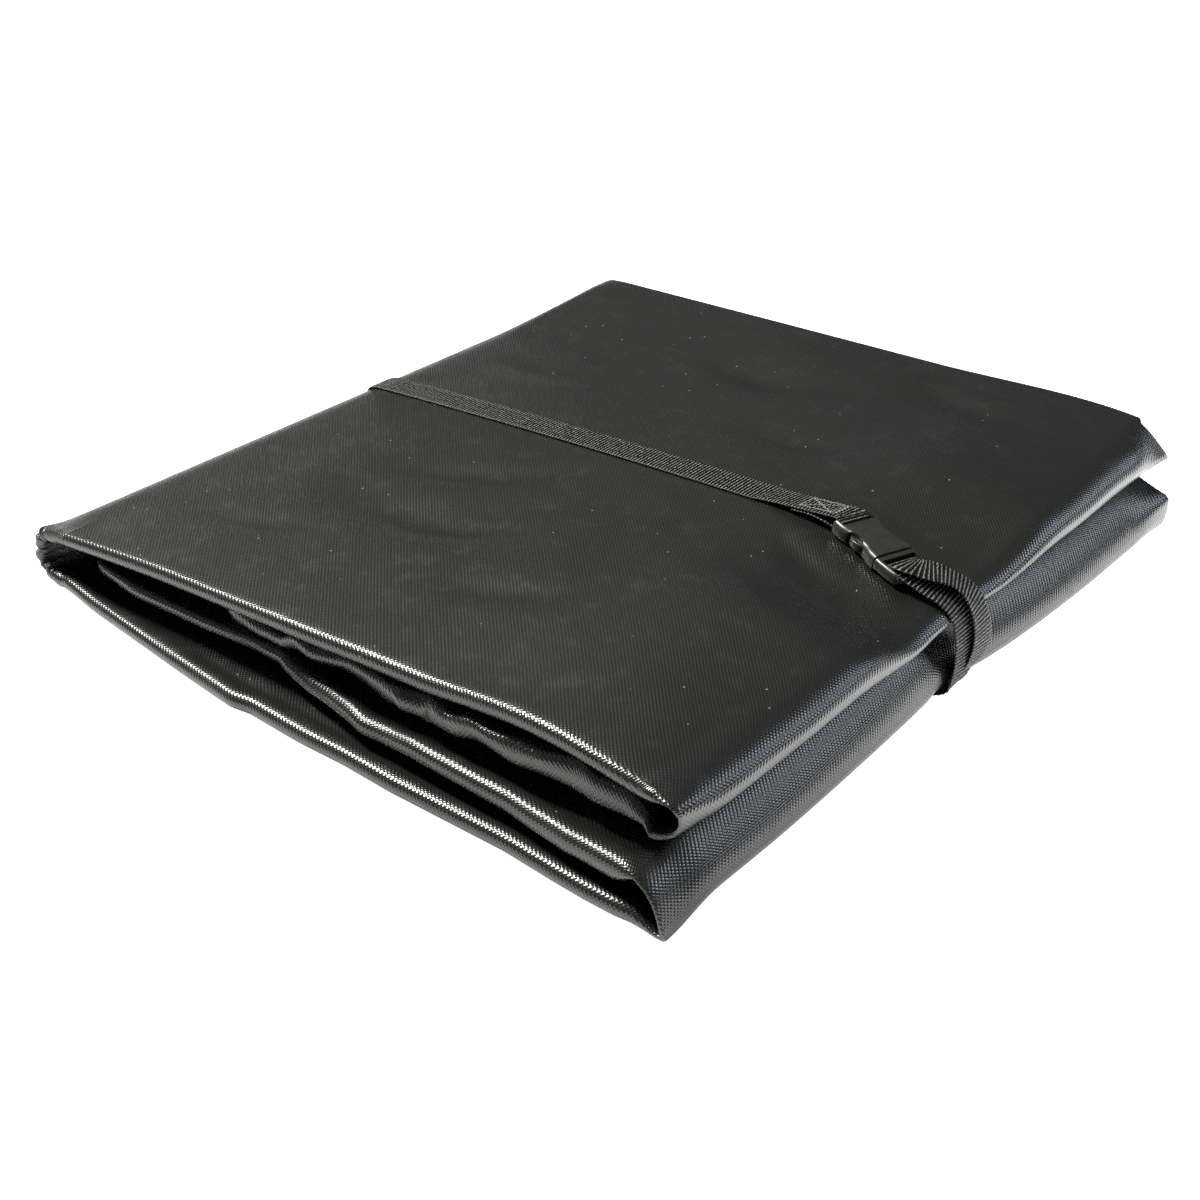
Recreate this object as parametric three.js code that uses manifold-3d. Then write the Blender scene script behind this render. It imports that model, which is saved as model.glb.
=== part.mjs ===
// A large coated-fabric ground mat, folded into a flat pack and held shut by a webbing strap.
//
// The sheet is folded lengthwise into a strip, both ends of the strip are turned in to the
// middle, and the strip is then shut like a book. The frame: +X from the book's spine to the
// two front folds, +Y along the spine, +Z up. The origin is the middle of the pack's underside.
// Millimetres throughout.
import * as THREE from 'three';
import * as BufferGeometryUtils from 'three/addons/utils/BufferGeometryUtils.js';
import Module from 'manifold-3d';

const wasm = await Module();
wasm.setup();

// Driving dimensions of the folded pack
const HALF_LENGTH = 225;
const HALF_WIDTH = 242;
const SPINE_TOP = 38;
const CREST_TOP = 62;
const CREST_X = 120;
const FRONT_TOP = 51.3;
const FOLD_X = 200;
const FOLD_REACH = 22.5;
const STRAP_FOLD_REACH = 15.5;
const DRAW_IN_INSIDE_BED = 8;
const DRAW_IN_OUTSIDE_BED = 20;
const SPLIT_AT_SPINE = 20.1;
const SPLIT_AT_FRONT = 32.8;
const PUFF = 14;
const LAYER_SHARE = 0.5;
const EDGE_ROUND = 5;
const THINNEST = 0.6;
const GAP = 0.3;
const WELD_DISTANCE = 1e-4;
const ARC_STEPS = 16;

// Webbing and its wrap round the spine
const WEB_WIDTH = 20;
const WEB_THICK = 1.4;
const THREAD = 0.4;
const STITCH_LENGTH = 22;
const SPINE_SHEET = 8;
const UNDER_Z = 1.2;
const GROOVE_TOP = UNDER_Z + WEB_THICK / 2 + GAP;
const GROOVE_HALF = WEB_WIDTH / 2 + 1;
const GROOVE_WALL = 0.5;
const WRAP_RADIUS = (SPINE_TOP - GROOVE_TOP) / 2;
const SPINE_X = -HALF_LENGTH + WRAP_RADIUS + GAP + WEB_THICK;
const PANEL_START = SPINE_X + 2 * GAP;
const STRAP_Y_SPINE = 18.5;
const STRAP_Y_CREST = 23.5;
const STRAP_Y_FRONT = 3;
const STRAP_Y_UNDER = -1;
const BED_LOW_Y = -26;
const BED_HIGH_Y = 42;
const BED_SLOPE_WIDTH = 70;
const LIFT_OFF_X = 80;
const RAMP_END_U = -20;
const RAMP_END_W = 3.9;
const UNDER_END_X = FOLD_X - 4;
const STITCH_CENTRE = 0.36;
const STITCH_MARGIN = 2.5;

// Side-release buckle for that webbing, in its own frame: u along the strap, v across, w up
const SOCKET_LENGTH = 37;
const SOCKET_REAR_HALF = 13;
const SOCKET_WAIST_HALF = 11.6;
const SOCKET_MOUTH_HALF = 13.75;
const SOCKET_THICK = 9.5;
const SOCKET_BEVEL = 1.2;
const SOCKET_OUTLINE = [
  [SOCKET_LENGTH / 2, SOCKET_MOUTH_HALF],
  [SOCKET_LENGTH / 2 - 4, SOCKET_MOUTH_HALF],
  [SOCKET_LENGTH / 2 - 8.5, SOCKET_WAIST_HALF + 0.6],
  [2, SOCKET_WAIST_HALF],
  [-4, SOCKET_WAIST_HALF + 0.5],
  [-9, SOCKET_REAR_HALF],
  [-SOCKET_LENGTH / 2 + 2.5, SOCKET_REAR_HALF],
  [-SOCKET_LENGTH / 2, SOCKET_REAR_HALF - 2.5],
];
const CAVITY_HALF = 9.8;
const CAVITY_HEIGHT = 5.8;
const CAVITY_REAR = -9;
const WINDOW_LOW_U = -5.5;
const WINDOW_HIGH_U = 7.5;
const WINDOW_HEIGHT = 5.4;
const SLOT_LOW_U = -15.4;
const SLOT_HIGH_U = -10.8;
const SLOT_HALF = 10.6;
const BAR_TOP_W = 2.4;
const BAR_UNDER_W = -1.2;
const PRONG_THICK = 4.8;
const PRONG_OUTLINE = [
  [18.2, 6.6],
  [18.2, 9.2],
  [6.6, 9.2],
  [6.2, 11.2],
  [-2, 11.2],
  [-4.6, 9.4],
  [-5.2, 8],
  [-5.2, 6.6],
  [4, 7],
];
const PLUG_HALF = 13.2;
const PLUG_BASE_U = 18.9;
const PLUG_END_U = 36.5;
const PLUG_BASE_LENGTH = 3.4;
const PLUG_BASE_HALF_THICK = 3.4;
const RAIL_WIDTH = 2.3;
const RAIL_HALF_THICK = 2.6;
const TONGUE_START_U = -4;
const TONGUE_HALF = 1.8;
const TONGUE_HALF_THICK = 2.2;
const PLUG_BAR_LOW_W = -2.2;
const PLUG_BAR_HIGH_W = 0.6;
const PLUG_BARS_U = [[26.5, 29], [33.7, 36.3]];
const BUCKLE_X = 155;
const BUCKLE_Y = 16;
const BUCKLE_YAW = -18 * Math.PI / 180;
const BUCKLE_PITCH = Math.atan2(CREST_TOP - FRONT_TOP, FOLD_X - CREST_X);
const BUCKLE_LIFT = SOCKET_THICK / 2 + 0.5;

const MATERIALS = {
  sheet: { color: 0x1b1c1c, roughness: 0.42, metalness: 0 },
  webbing: { color: 0x121212, roughness: 0.8, metalness: 0 },
  thread: { color: 0x8a8a86, roughness: 0.7, metalness: 0 },
  plastic: { color: 0x141413, roughness: 0.38, metalness: 0 },
};

const mat = new THREE.Group();

function addPiece(parent, name, finish, geometry) {
  const mesh = new THREE.Mesh(geometry, new THREE.MeshStandardMaterial(MATERIALS[finish]));
  mesh.name = name;
  parent.add(mesh);
}

function lerp(from, to, share) {
  return from + (to - from) * share;
}

function between(low, high, value) {
  return Math.min(1, Math.max(0, (value - low) / (high - low)));
}

function smooth(low, high, value) {
  const share = between(low, high, value);
  return share * share * (3 - 2 * share);
}

// ---- Solids by boolean ----

function toSolid(geometry) {
  const bare = geometry.clone();
  bare.deleteAttribute('normal');
  bare.deleteAttribute('uv');
  const merged = BufferGeometryUtils.mergeVertices(bare, WELD_DISTANCE);
  return new wasm.Manifold(new wasm.Mesh({
    numProp: 3,
    vertProperties: merged.attributes.position.array,
    triVerts: new Uint32Array(merged.index.array),
  }));
}

function toGeometry(solid) {
  const mesh = solid.getMesh();
  const geometry = new THREE.BufferGeometry();
  geometry.setAttribute('position', new THREE.BufferAttribute(mesh.vertProperties, 3));
  geometry.setIndex(new THREE.BufferAttribute(mesh.triVerts, 1));
  geometry.computeVertexNormals();
  return geometry;
}

function block(low, high) {
  const geometry = new THREE.BoxGeometry(high[0] - low[0], high[1] - low[1], high[2] - low[2]);
  geometry.translate((low[0] + high[0]) / 2, (low[1] + high[1]) / 2, (low[2] + high[2]) / 2);
  return geometry;
}

function joined(geometries) {
  return geometries.map(toSolid).reduce((whole, piece) => whole.add(piece));
}

function plate(points, low, high, bevel = 0) {
  const shape = new THREE.Shape(points.map(([x, y]) => new THREE.Vector2(x, y)));
  const geometry = new THREE.ExtrudeGeometry(shape, {
    depth: high - low - 2 * bevel,
    bevelEnabled: bevel > 0,
    bevelThickness: bevel,
    bevelSize: bevel,
    bevelOffset: -bevel,
    bevelSegments: 1,
  });
  geometry.translate(0, 0, low + bevel);
  return geometry;
}

// ---- The folded sheet ----

// A closed skin over a grid of places, each with an underside and an upper side.
function pillow(us, vs, place) {
  const positions = [];
  const index = [];
  const rows = us.length;
  const columns = vs.length;
  for (const side of ['high', 'low']) {
    for (const u of us) {
      for (const v of vs) {
        const spot = place(u, v);
        positions.push(spot.x, spot.y, spot[side]);
      }
    }
  }
  const high = (i, j) => i * columns + j;
  const low = (i, j) => rows * columns + high(i, j);
  const face = (a, b, c, d) => index.push(a, b, c, a, c, d);
  for (let i = 0; i < rows - 1; i++) {
    for (let j = 0; j < columns - 1; j++) {
      face(high(i, j), high(i + 1, j), high(i + 1, j + 1), high(i, j + 1));
      face(low(i, j), low(i, j + 1), low(i + 1, j + 1), low(i + 1, j));
    }
    face(low(i, 0), low(i + 1, 0), high(i + 1, 0), high(i, 0));
    face(high(i, columns - 1), high(i + 1, columns - 1), low(i + 1, columns - 1), low(i, columns - 1));
  }
  for (let j = 0; j < columns - 1; j++) {
    face(high(0, j), high(0, j + 1), low(0, j + 1), low(0, j));
    face(low(rows - 1, j), low(rows - 1, j + 1), high(rows - 1, j + 1), high(rows - 1, j));
  }
  const geometry = new THREE.BufferGeometry();
  geometry.setAttribute('position', new THREE.Float32BufferAttribute(positions, 3));
  geometry.setIndex(index);
  geometry.computeVertexNormals();
  return geometry;
}

// Height of the pack's top along the bed that the strap and buckle lie in
function bedHeight(x) {
  if (x > CREST_X) return lerp(CREST_TOP, FRONT_TOP, (x - CREST_X) / (FOLD_X - CREST_X));
  const share = between(PANEL_START, CREST_X, x);
  return lerp(SPINE_TOP, CREST_TOP, share * (1.3 - 0.3 * share));
}

// The sheet puffs up on both sides of the strap, most at the front corners.
function topHeight(x, y) {
  const beside = Math.max(smooth(BED_LOW_Y, BED_LOW_Y - BED_SLOPE_WIDTH, y),
    smooth(BED_HIGH_Y, BED_HIGH_Y + BED_SLOPE_WIDTH, y));
  return bedHeight(x) + PUFF * beside * smooth(CREST_X - 60, FOLD_X, x);
}

function splitHeight(x) {
  return lerp(SPLIT_AT_SPINE, SPLIT_AT_FRONT, between(PANEL_START, FOLD_X, x));
}

function underStrapY(x) {
  return lerp(STRAP_Y_SPINE, STRAP_Y_UNDER, between(SPINE_X, FOLD_X, x));
}

function bottomHeight(x, y) {
  return Math.abs(y - underStrapY(x)) < GROOVE_HALF + GROOVE_WALL / 2 ? GROOVE_TOP : 0;
}

// Stations across the pack: its rounded edges, and the two sides of the strap's groove
function acrossStations(x) {
  const strap = underStrapY(x);
  const edge = HALF_WIDTH - EDGE_ROUND;
  return [
    -HALF_WIDTH, -edge - EDGE_ROUND / 2, -edge, BED_LOW_Y - BED_SLOPE_WIDTH,
    BED_LOW_Y - BED_SLOPE_WIDTH / 2, BED_LOW_Y, strap - GROOVE_HALF - GROOVE_WALL, strap - GROOVE_HALF,
    strap + GROOVE_HALF, strap + GROOVE_HALF + GROOVE_WALL, BED_HIGH_Y, BED_HIGH_Y + BED_SLOPE_WIDTH / 2,
    BED_HIGH_Y + BED_SLOPE_WIDTH, edge, edge + EDGE_ROUND / 2, HALF_WIDTH,
  ];
}

const STATION_COUNT = acrossStations(0).length;
const ACROSS = Array.from({ length: STATION_COUNT }, (_, j) => j);

// Pinches a layer towards its middle at the two folded edges, as a round fold does.
function rounded(y, low, high) {
  const into = between(HALF_WIDTH - EDGE_ROUND, HALF_WIDTH, Math.abs(y));
  const half = Math.max(THINNEST, (high - low) * Math.sqrt(1 - into * into)) / 2;
  const middle = (low + high) / 2;
  return { low: middle - half, high: middle + half };
}

function panel(lowAt, highAt) {
  const alongs = [PANEL_START, -150, -90, -30, 30, 80, CREST_X, 160, FOLD_X - 2 * GAP];
  return pillow(alongs, ACROSS, (x, j) => {
    const y = acrossStations(x)[j];
    return { x, y, ...rounded(y, lowAt(x, y), highAt(x, y)) };
  });
}

// The rounded nose where the strip turns back on itself. It is drawn in under the strap.
function frontFold(lowAt, highAt, floorUnderStrap) {
  const bends = [0, 0.35, 0.6, 0.8, 0.92, 1];
  return pillow(bends, ACROSS, (bend, j) => {
    const y = acrossStations(FOLD_X)[j];
    const free = Math.max(
      smooth(BED_LOW_Y + DRAW_IN_INSIDE_BED, BED_LOW_Y - DRAW_IN_OUTSIDE_BED, y),
      smooth(BED_HIGH_Y - DRAW_IN_INSIDE_BED, BED_HIGH_Y + DRAW_IN_OUTSIDE_BED, y),
    );
    const reach = lerp(STRAP_FOLD_REACH, FOLD_REACH, free);
    const low = lowAt(FOLD_X, y);
    const high = highAt(FOLD_X, y);
    const half = Math.max(THINNEST, (high - low) * Math.sqrt(1 - bend * bend)) / 2;
    const middle = (low + high) / 2;
    const pinched = rounded(y, middle - half, middle + half);
    const floor = lerp(floorUnderStrap, 0, free);
    return { x: FOLD_X + reach * bend, y, low: Math.max(pinched.low, floor), high: pinched.high };
  });
}

const lowerSeam = (x) => splitHeight(x) * LAYER_SHARE;
const upperSeam = (x, y) => lerp(splitHeight(x), topHeight(x, y), LAYER_SHARE);

addPiece(mat, 'lower_outer_panel', 'sheet', panel(bottomHeight, (x) => lowerSeam(x) - GAP / 2));
addPiece(mat, 'lower_inner_panel', 'sheet', panel(
  (x) => lowerSeam(x) + GAP / 2,
  (x) => splitHeight(x) - GAP / 2,
));
addPiece(mat, 'lower_front_fold', 'sheet', frontFold(
  () => 0,
  (x) => splitHeight(x) - GAP / 2,
  GROOVE_TOP + GAP,
));
addPiece(mat, 'upper_inner_panel', 'sheet', panel(
  (x) => splitHeight(x) + GAP / 2,
  (x, y) => upperSeam(x, y) - GAP / 2,
));
addPiece(mat, 'upper_outer_panel', 'sheet', panel((x, y) => upperSeam(x, y) + GAP / 2, topHeight));
addPiece(mat, 'upper_front_fold', 'sheet', frontFold((x) => splitHeight(x) + GAP / 2, topHeight, 0));

function halfRing(inner, outer, fromY, toY) {
  const shape = new THREE.Shape();
  shape.absarc(0, 0, outer, Math.PI / 2, Math.PI * 1.5, false);
  shape.absarc(0, 0, inner, Math.PI * 1.5, Math.PI / 2, true);
  const geometry = new THREE.ExtrudeGeometry(shape, {
    depth: toY - fromY,
    bevelEnabled: false,
    curveSegments: ARC_STEPS,
  });
  geometry.rotateX(Math.PI / 2);
  geometry.translate(SPINE_X, toY, SPLIT_AT_SPINE);
  return geometry;
}

const spineEnd = HALF_WIDTH - EDGE_ROUND / 2;
addPiece(mat, 'spine_fold', 'sheet', halfRing(WRAP_RADIUS - SPINE_SHEET, WRAP_RADIUS, -spineEnd, spineEnd));

// ---- The webbing ----

// A flat band through stations that give its middle and the direction across it
function band(stations) {
  const positions = [];
  const index = [];
  stations.forEach(({ at, across }, i) => {
    const before = stations[Math.max(0, i - 1)].at;
    const after = stations[Math.min(stations.length - 1, i + 1)].at;
    const tangent = after.clone().sub(before).normalize();
    const side = across.clone().addScaledVector(tangent, -across.dot(tangent)).normalize();
    const normal = tangent.clone().cross(side).normalize();
    for (const [s, n] of [[1, 1], [-1, 1], [-1, -1], [1, -1]]) {
      const corner = at.clone()
        .addScaledVector(side, s * WEB_WIDTH / 2)
        .addScaledVector(normal, n * WEB_THICK / 2);
      positions.push(...corner.toArray());
    }
  });
  const last = 4 * (stations.length - 1);
  for (let i = 0; i < last; i += 4) {
    for (let k = 0; k < 4; k++) {
      const next = (k + 1) % 4;
      index.push(i + k, i + next, i + 4 + next, i + k, i + 4 + next, i + 4 + k);
    }
  }
  index.push(0, 2, 1, 0, 3, 2, last, last + 1, last + 2, last, last + 2, last + 3);
  const geometry = new THREE.BufferGeometry();
  geometry.setAttribute('position', new THREE.Float32BufferAttribute(positions, 3));
  geometry.setIndex(index);
  geometry.computeVertexNormals();
  return geometry;
}

const ALONG_Y = new THREE.Vector3(0, 1, 0);
const place = (x, y, z) => ({ at: new THREE.Vector3(x, y, z), across: ALONG_Y });

// The buckle lies flat on the slope of its bed, turned a little towards the near side.
const buckleSlope = new THREE.Group();
const bedNormal = new THREE.Vector3(Math.sin(BUCKLE_PITCH), 0, Math.cos(BUCKLE_PITCH));
buckleSlope.position.set(BUCKLE_X, BUCKLE_Y, bedHeight(BUCKLE_X)).addScaledVector(bedNormal, BUCKLE_LIFT);
buckleSlope.rotation.y = BUCKLE_PITCH;
const buckle = new THREE.Group();
buckle.rotation.z = BUCKLE_YAW;
buckleSlope.add(buckle);
mat.add(buckleSlope);
mat.updateMatrixWorld(true);

function inBuckle(u, v, w) {
  const origin = new THREE.Vector3(0, 0, 0).applyMatrix4(buckle.matrixWorld);
  const across = new THREE.Vector3(0, 1, 0).applyMatrix4(buckle.matrixWorld).sub(origin);
  return { at: new THREE.Vector3(u, v, w).applyMatrix4(buckle.matrixWorld), across };
}

// The strap lies on its bed, then runs straight up to the bar of the buckle's socket.
const onBed = (x, y) => place(x, y, bedHeight(x) + GAP + WEB_THICK / 2);
const overRun = [PANEL_START, -150, -90, -30, 30, LIFT_OFF_X].map((x) => onBed(
  x, lerp(STRAP_Y_SPINE, STRAP_Y_CREST, between(SPINE_X, LIFT_OFF_X, x)),
));
const liftOff = overRun.at(-1).at;
const barTop = inBuckle(RAMP_END_U, 0, RAMP_END_W);
const rampAcross = barTop.across;
const rampAlong = barTop.at.clone().sub(liftOff).normalize();
const rampSide = rampAcross.clone().addScaledVector(rampAlong, -rampAcross.dot(rampAlong)).normalize();
const rampNormal = rampAlong.clone().cross(rampSide);
const onRamp = (share, drop) => ({
  at: barTop.at.clone().lerp(liftOff, share).addScaledVector(rampNormal, -drop),
  across: rampAcross,
});
addPiece(mat, 'strap_over_run', 'webbing', band([
  ...overRun,
  ...[0.86, 0.13, 0.05].map((share) => onRamp(share, 0)),
  ...[-19, -17.6].map((u) => inBuckle(u, 0, RAMP_END_W)),
]));

// The strap's end passes round the bar and is sewn back under itself.
const LAP_ROUND_BAR = [
  [-16.9, 0, RAMP_END_W],
  [-14.6, 0, 3.3],
  [-13.4, 0, 1.6],
  [-13.4, 0, -0.8],
  [-14.6, 0, -2.2],
  [-17, 0, -2.7],
  [-20, 0, -1.9],
];
addPiece(mat, 'strap_sewn_lap', 'webbing', band([
  ...LAP_ROUND_BAR.map((spot) => inBuckle(...spot)),
  onRamp(0.19, 2 * WEB_THICK),
  onRamp(0.28, WEB_THICK + 2 * GAP),
  onRamp(0.34, WEB_THICK + GAP),
  onRamp(0.54, WEB_THICK + GAP),
]));

const wrapAngles = Array.from({ length: ARC_STEPS + 1 }, (_, i) => Math.PI * (0.5 + i / ARC_STEPS));
const wrapCentre = WRAP_RADIUS + GAP + WEB_THICK / 2;
addPiece(mat, 'strap_spine_wrap', 'webbing', band(wrapAngles.map((angle) => place(
  SPINE_X + wrapCentre * Math.cos(angle), STRAP_Y_SPINE, SPLIT_AT_SPINE + wrapCentre * Math.sin(angle),
))));
addPiece(mat, 'strap_under_run', 'webbing', band([
  place(PANEL_START, STRAP_Y_SPINE, UNDER_Z),
  place(UNDER_END_X, underStrapY(UNDER_END_X), UNDER_Z),
]));

// The front run comes up through the plug's two slots, round its first bar.
const FRONT_THROUGH_PLUG = [
  [25.8, 0, 2.45],
  [24.9, 0, 1.9],
  [24.6, 0, 0.9],
  [24.7, 0, -2.2],
  [25.9, 0, -3.4],
  [29.4, 0, -3.4],
  [31, 0, -2.3],
  [31.7, 0, 0],
  [33.3, 0, 1.75],
  [37.5, 0, 1.75],
];
const FRONT_OVER_FOLDS = [
  [204, 1.5, 55],
  [212.5, 1.8, 50],
  [218, 2.5, 42],
  [220.5, STRAP_Y_FRONT, 32],
  [220.5, STRAP_Y_FRONT, 20],
  [217.5, 1.5, 9],
  [211.5, 0, 2.2],
  [204, STRAP_Y_UNDER, UNDER_Z],
  [UNDER_END_X + 2 * GAP, STRAP_Y_UNDER, UNDER_Z],
];
addPiece(mat, 'strap_front_run', 'webbing', band([
  ...FRONT_THROUGH_PLUG.map((spot) => inBuckle(...spot)),
  ...FRONT_OVER_FOLDS.map((spot) => place(...spot)),
]));

// The loose tail leaves the first bar on top and hangs beside the front run.
const TAIL_FROM_PLUG = [
  [26.3, 0, 2.95],
  [28.4, 0, 3.3],
  [32, 1, 3.9],
  [37, 3, 4.2],
];
const TAIL_OVER_FOLDS = [
  [203, 9, 58.4],
  [213.5, 12, 53],
  [220.5, 14, 44],
  [HALF_LENGTH - WEB_THICK / 2, 15, 32],
  [HALF_LENGTH - WEB_THICK / 2, 15, 20],
  [221.2, 14, 9.5],
  [216.5, 13, 4],
];
addPiece(mat, 'strap_tail', 'webbing', band([
  ...TAIL_FROM_PLUG.map((spot) => inBuckle(...spot)),
  ...TAIL_OVER_FOLDS.map((spot) => place(...spot)),
]));

// The thread that sews the lap down: a box of stitches with a cross in it
function stitchingGeometry() {
  const low = WEB_THICK / 2 + GAP;
  const high = low + THREAD;
  const wide = 2 * THREAD;
  const half = WEB_WIDTH / 2 - STITCH_MARGIN;
  const end = STITCH_LENGTH / 2;
  const side = (v) => block([-end, v - wide / 2, low], [end, v + wide / 2, high]);
  const across = (u) => block([u - wide / 2, -half, low], [u + wide / 2, half, high]);
  const diagonal = (sign) => {
    const length = Math.hypot(2 * end, 2 * half);
    const geometry = block([-length / 2, -wide / 2, low], [length / 2, wide / 2, high]);
    geometry.rotateZ(sign * Math.atan2(half, end));
    return geometry;
  };
  const box = [side(-half), side(half), across(-end), across(end)];
  return toGeometry(joined([...box, diagonal(1), diagonal(-1)]));
}
const lap = new THREE.Group();
lap.position.copy(barTop.at.clone().lerp(liftOff, STITCH_CENTRE));
lap.quaternion.setFromRotationMatrix(new THREE.Matrix4().makeBasis(rampAlong, rampSide, rampNormal));
mat.add(lap);
addPiece(lap, 'strap_stitching', 'thread', stitchingGeometry());

// ---- The buckle ----

function mirrored(points) {
  return [...points, ...points.slice().reverse().map(([u, v]) => [u, -v])];
}

function socketGeometry() {
  const end = SOCKET_LENGTH / 2;
  const half = SOCKET_THICK / 2;
  const beyond = 1;
  const outline = mirrored(SOCKET_OUTLINE.map(([u, v]) => [u, -v]));
  const body = toSolid(plate(outline, -half, half, SOCKET_BEVEL));
  const cavity = block(
    [CAVITY_REAR, -CAVITY_HALF, -CAVITY_HEIGHT / 2],
    [end + beyond, CAVITY_HALF, CAVITY_HEIGHT / 2],
  );
  const windows = block(
    [WINDOW_LOW_U, -SOCKET_MOUTH_HALF - beyond, -WINDOW_HEIGHT / 2],
    [WINDOW_HIGH_U, SOCKET_MOUTH_HALF + beyond, WINDOW_HEIGHT / 2],
  );
  const slot = block([SLOT_LOW_U, -SLOT_HALF, -half - beyond], [SLOT_HIGH_U, SLOT_HALF, half + beyond]);
  const overBar = block([-end - beyond, -SLOT_HALF, BAR_TOP_W], [SLOT_LOW_U + 0.1, SLOT_HALF, half + beyond]);
  const underBar = block(
    [-end - beyond, -SLOT_HALF, -half - beyond],
    [SLOT_LOW_U + 0.1, SLOT_HALF, BAR_UNDER_W],
  );
  const cuts = [cavity, windows, slot, overBar, underBar];
  return toGeometry(cuts.reduce((solid, cut) => solid.subtract(toSolid(cut)), body));
}
addPiece(buckle, 'buckle_socket', 'plastic', socketGeometry());

function plugGeometry() {
  const rail = (low, high) => block(
    [PLUG_BASE_U + 3, low, -RAIL_HALF_THICK],
    [PLUG_END_U, high, RAIL_HALF_THICK],
  );
  const bars = PLUG_BARS_U.map(([from, to]) => block(
    [from, -PLUG_HALF + 1, PLUG_BAR_LOW_W],
    [to, PLUG_HALF - 1, PLUG_BAR_HIGH_W],
  ));
  const base = block(
    [PLUG_BASE_U, -PLUG_HALF, -PLUG_BASE_HALF_THICK],
    [PLUG_BASE_U + PLUG_BASE_LENGTH, PLUG_HALF, PLUG_BASE_HALF_THICK],
  );
  const tongue = block(
    [TONGUE_START_U, -TONGUE_HALF, -TONGUE_HALF_THICK],
    [PLUG_BASE_U + 1, TONGUE_HALF, TONGUE_HALF_THICK],
  );
  const rails = [rail(-PLUG_HALF, -PLUG_HALF + RAIL_WIDTH), rail(PLUG_HALF - RAIL_WIDTH, PLUG_HALF)];
  return toGeometry(joined([base, tongue, ...rails, ...bars]));
}
addPiece(buckle, 'buckle_plug', 'plastic', plugGeometry());

function prongGeometry(sign) {
  const turned = sign > 0 ? PRONG_OUTLINE : PRONG_OUTLINE.map(([u, v]) => [u, -v]).reverse();
  return plate(turned, -PRONG_THICK / 2, PRONG_THICK / 2);
}
addPiece(buckle, 'prong_far', 'plastic', prongGeometry(1));
addPiece(buckle, 'prong_near', 'plastic', prongGeometry(-1));

export default mat;
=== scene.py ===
"""A folded ground mat of coated fabric in its webbing strap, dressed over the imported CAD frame.

Metres in Blender; the shapes are worked out in millimetres, in the part's own frame:
+X from the spine to the two front folds, +Y along the spine, +Z up.
"""
import math

import bpy
import numpy as np
from mathutils import Matrix, Vector, noise


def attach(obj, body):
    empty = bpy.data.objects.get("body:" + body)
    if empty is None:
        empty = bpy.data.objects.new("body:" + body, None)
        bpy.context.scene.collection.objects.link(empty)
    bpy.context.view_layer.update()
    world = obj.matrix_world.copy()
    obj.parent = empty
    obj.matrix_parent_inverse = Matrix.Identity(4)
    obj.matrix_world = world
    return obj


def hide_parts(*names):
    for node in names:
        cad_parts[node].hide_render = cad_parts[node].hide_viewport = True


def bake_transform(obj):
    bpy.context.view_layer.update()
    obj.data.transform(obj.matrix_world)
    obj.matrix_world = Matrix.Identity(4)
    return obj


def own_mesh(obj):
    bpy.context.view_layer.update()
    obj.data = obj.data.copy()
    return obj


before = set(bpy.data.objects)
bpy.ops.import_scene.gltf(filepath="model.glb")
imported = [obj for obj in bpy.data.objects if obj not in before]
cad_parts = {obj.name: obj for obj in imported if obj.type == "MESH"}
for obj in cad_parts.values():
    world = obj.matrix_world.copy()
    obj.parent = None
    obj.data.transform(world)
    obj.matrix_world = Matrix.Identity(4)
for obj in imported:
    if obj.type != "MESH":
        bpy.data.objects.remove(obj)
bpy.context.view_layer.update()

MM = 0.001

# ---- Sizes shared with the CAD model, mm ----
SPINE_X = -205.4
PANEL_START = -204.8
SPINE_CENTRE_Z = 20.1
WRAP_RADIUS = 17.9
SPINE_SHEET = 8.0
SPINE_STAND_OUT = 5.0
TOP_SLOPE = 0.09
FOLD_X = 200.0
CREST_X = 120.0
SPINE_TOP = 38.0
CREST_TOP = 62.0
FRONT_TOP = 51.3
SPLIT_AT_SPINE = 20.1
SPLIT_AT_FRONT = 32.8
PUFF = 14.0
BED_LOW_Y = -26.0
BED_HIGH_Y = 42.0
BED_SLOPE_WIDTH = 70.0
GAP = 0.3
WEB_WIDTH = 20.0
WEB_THICK = 1.4
RIB_PITCH = 2.2
UNDER_Z = 1.2
STRAP_Y_SPINE = 18.5
STRAP_Y_CREST = 23.5
STRAP_Y_UNDER = -1.0
STRAP_Y_TOP = 20.0
HALF_LENGTH = 242.0
FULL_LENGTH = 2 * HALF_LENGTH
LIFT_OFF_X = 80.0
BUCKLE_AT = np.array([155.696, 16.0, 62.522])
BUCKLE_U = np.array([0.942662, -0.309017, -0.126081])
BUCKLE_V = np.array([0.30629, 0.951057, -0.040966])
BUCKLE_W = np.array([0.132569, 0.0, 0.991174])


# ---- Small tools ----

def smooth(low, high, value):
    share = np.clip((np.asarray(value, float) - low) / (high - low), 0, 1)
    return share * share * (3 - 2 * share)


def lerp(a, b, share):
    return a + (b - a) * share


def table(*points):
    """A broken line through (place, value) points, with its kinks left in."""
    places, values = zip(*points)
    return lambda x: np.interp(x, places, values)


def eased(*points):
    """A soft line through (place, value) points."""
    places, values = (np.array(column, float) for column in zip(*points))
    slopes = np.gradient(values, places)

    def at(x):
        x = np.clip(x, places[0], places[-1])
        k = np.clip(np.searchsorted(places, x) - 1, 0, len(places) - 2)
        width = places[k + 1] - places[k]
        t = (x - places[k]) / width
        return ((1 + 2 * t) * (1 - t) ** 2 * values[k] + t * (1 - t) ** 2 * width * slopes[k]
                + t * t * (3 - 2 * t) * values[k + 1] + t * t * (t - 1) * width * slopes[k + 1])

    return at


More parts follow.
